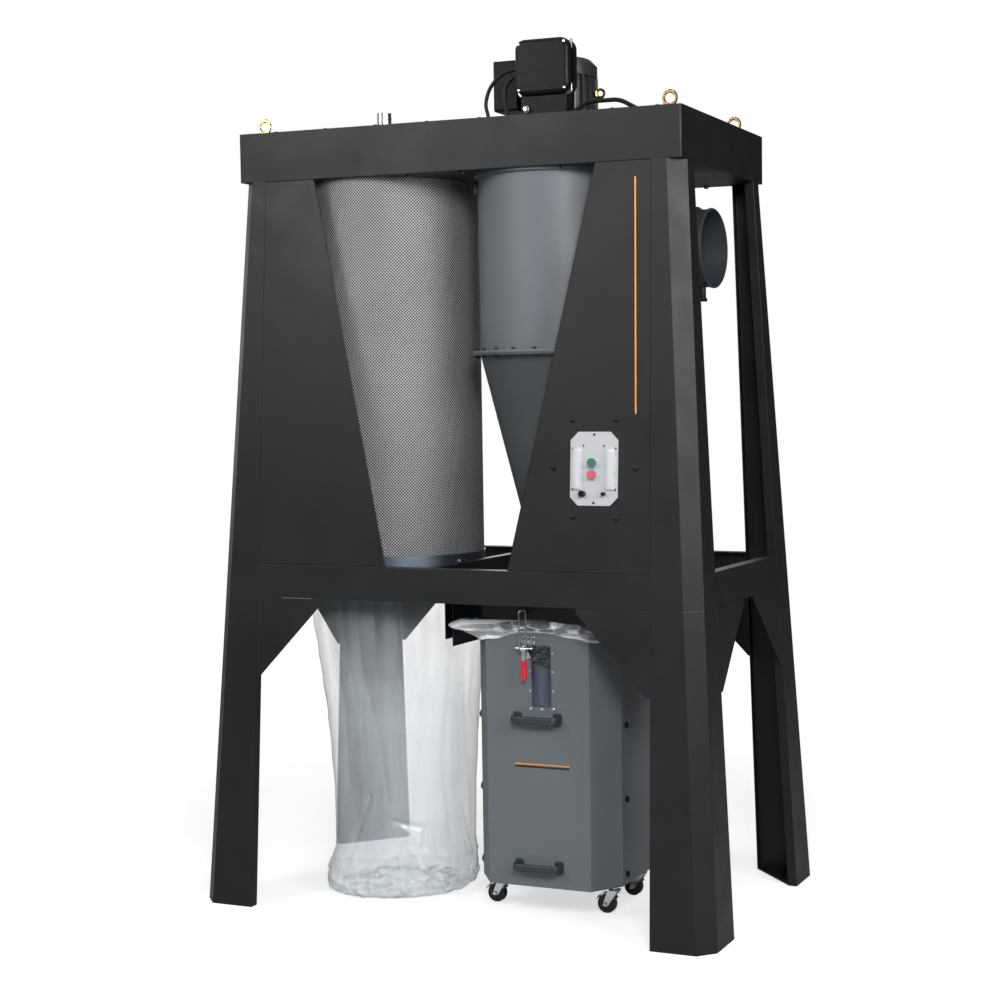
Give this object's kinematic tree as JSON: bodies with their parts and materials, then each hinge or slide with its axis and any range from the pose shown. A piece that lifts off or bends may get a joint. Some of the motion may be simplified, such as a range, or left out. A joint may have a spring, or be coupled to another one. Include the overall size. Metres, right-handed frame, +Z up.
{
  "type": "cyclone dust separator",
  "caption": "Floor-standing cyclone dust separator: cyclone and cartridge filter under a motor cover on a splayed black stand, with a wheeled drum and a clear bag.",
  "frame": {"origin": "on the floor under the middle of the stand's base", "axes": "+Z up, the front panels and the drum's handles face -Y, the inlet faces +X"},
  "size_m": [1.856, 1.052, 2.8355],
  "materials": {
    "black_paint": "satin powder coat",
    "grey_paint": "satin",
    "cone_paint": "satin",
    "perforated_steel": "perforated",
    "band_steel": "satin",
    "clear_film": "clear plastic film",
    "motor_paint": "satin",
    "black_plastic": "gloss",
    "cable_rubber": "matte",
    "yellow_zinc": "zinc plated",
    "bare_steel": "satin",
    "smoked_glass": "smoked",
    "handle_paint": "satin",
    "chrome": "polished",
    "red_plastic": "gloss",
    "green_plastic": "gloss",
    "white_plate": "satin",
    "clear_acrylic": "clear",
    "wheel_rubber": "matte"
  },
  "bodies": {
    "stand": {"front_left_lower_leg": "black_paint", "front_left_upper_leg": "black_paint", "front_right_lower_leg": "black_paint", "front_right_upper_leg": "black_paint", "back_left_lower_leg": "black_paint", "back_left_upper_leg": "black_paint", "back_right_lower_leg": "black_paint", "back_right_upper_leg": "black_paint", "front_beam": "black_paint", "back_beam": "black_paint", "left_beam": "black_paint", "right_beam": "black_paint", "gussets": "black_paint", "left_front_panel": "black_paint", "right_front_panel": "black_paint", "cover": "black_paint", "deck": "black_paint", "centre_member": "black_paint", "drum_lid": "black_paint", "cyclone_barrel": "grey_paint", "barrel_flanges": "grey_paint", "inlet_collar": "grey_paint", "drum": "grey_paint", "cyclone_cone": "cone_paint", "filter_screen": "perforated_steel", "filter_foot_band": "band_steel", "bag_clamp": "band_steel", "collection_bag": "clear_film", "drum_liner": "clear_film", "motor": "motor_paint", "terminal_box": "black_plastic", "switch_box": "black_plastic", "knobs": "black_plastic", "motor_cables": "cable_rubber", "cover_hose": "cable_rubber", "cover_eyebolts": "yellow_zinc", "motor_lifting_eye": "yellow_zinc", "pipe_stub": "bare_steel", "caster_plates": "bare_steel", "drum_window": "smoked_glass", "drum_handles": "handle_paint", "latch_base": "chrome", "control_plate": "white_plate", "gauge_tubes": "clear_acrylic"},
    "latch_lever_body": {"latch_lever": "chrome"},
    "latch_bail_body": {"latch_bail": "chrome"},
    "start_button_body": {"start_button": "green_plastic"},
    "stop_button_body": {"stop_button": "red_plastic"},
    "front_left_fork_body": {"front_left_caster_fork": "chrome"},
    "front_left_wheel_body": {"front_left_caster_wheel": "wheel_rubber"},
    "front_right_fork_body": {"front_right_caster_fork": "chrome"},
    "front_right_wheel_body": {"front_right_caster_wheel": "wheel_rubber"},
    "back_left_fork_body": {"back_left_caster_fork": "chrome"},
    "back_left_wheel_body": {"back_left_caster_wheel": "wheel_rubber"},
    "back_right_fork_body": {"back_right_caster_fork": "chrome"},
    "back_right_wheel_body": {"back_right_caster_wheel": "wheel_rubber"}
  },
  "joints": [
    {"name": "latch_lever_swing", "type": "hinge", "parent": "stand", "child": "latch_lever_body", "pos_m": [0.224, -0.351, 0.893], "axis": [1, 0, 0], "range_deg": [-100, 0]},
    {"name": "latch_bail_swing", "type": "hinge", "parent": "latch_lever_body", "child": "latch_bail_body", "pos_m": [0.224, -0.363, 0.893], "axis": [1, 0, 0], "range_deg": [0, 150]},
    {"name": "start_press", "type": "slide", "parent": "stand", "child": "start_button_body", "axis": [0, 0.9982, -0.0593], "range_m": [0, 0.004], "stiffness_N_per_m": 400},
    {"name": "stop_press", "type": "slide", "parent": "stand", "child": "stop_button_body", "axis": [0, 0.9982, -0.0593], "range_m": [0, 0.004], "stiffness_N_per_m": 400},
    {"name": "front_left_swivel", "type": "hinge", "parent": "stand", "child": "front_left_fork_body", "pos_m": [0.052, -0.182, 0.09], "axis": [0, 0, 1], "continuous": true},
    {"name": "front_left_roll", "type": "hinge", "parent": "front_left_fork_body", "child": "front_left_wheel_body", "pos_m": [0.026, -0.182, 0.032], "axis": [0, 1, 0], "continuous": true},
    {"name": "front_right_swivel", "type": "hinge", "parent": "stand", "child": "front_right_fork_body", "pos_m": [0.458, -0.182, 0.09], "axis": [0, 0, 1], "continuous": true},
    {"name": "front_right_roll", "type": "hinge", "parent": "front_right_fork_body", "child": "front_right_wheel_body", "pos_m": [0.432, -0.182, 0.032], "axis": [0, 1, 0], "continuous": true},
    {"name": "back_left_swivel", "type": "hinge", "parent": "stand", "child": "back_left_fork_body", "pos_m": [0.052, 0.042, 0.09], "axis": [0, 0, 1], "continuous": true},
    {"name": "back_left_roll", "type": "hinge", "parent": "back_left_fork_body", "child": "back_left_wheel_body", "pos_m": [0.026, 0.042, 0.032], "axis": [0, 1, 0], "continuous": true},
    {"name": "back_right_swivel", "type": "hinge", "parent": "stand", "child": "back_right_fork_body", "pos_m": [0.458, 0.042, 0.09], "axis": [0, 0, 1], "continuous": true},
    {"name": "back_right_roll", "type": "hinge", "parent": "back_right_fork_body", "child": "back_right_wheel_body", "pos_m": [0.432, 0.042, 0.032], "axis": [0, 1, 0], "continuous": true}
  ],
  "couplings": [
    {"joint": "latch_bail_swing", "follows": "latch_lever_swing", "ratio": -1.5}
  ]
}
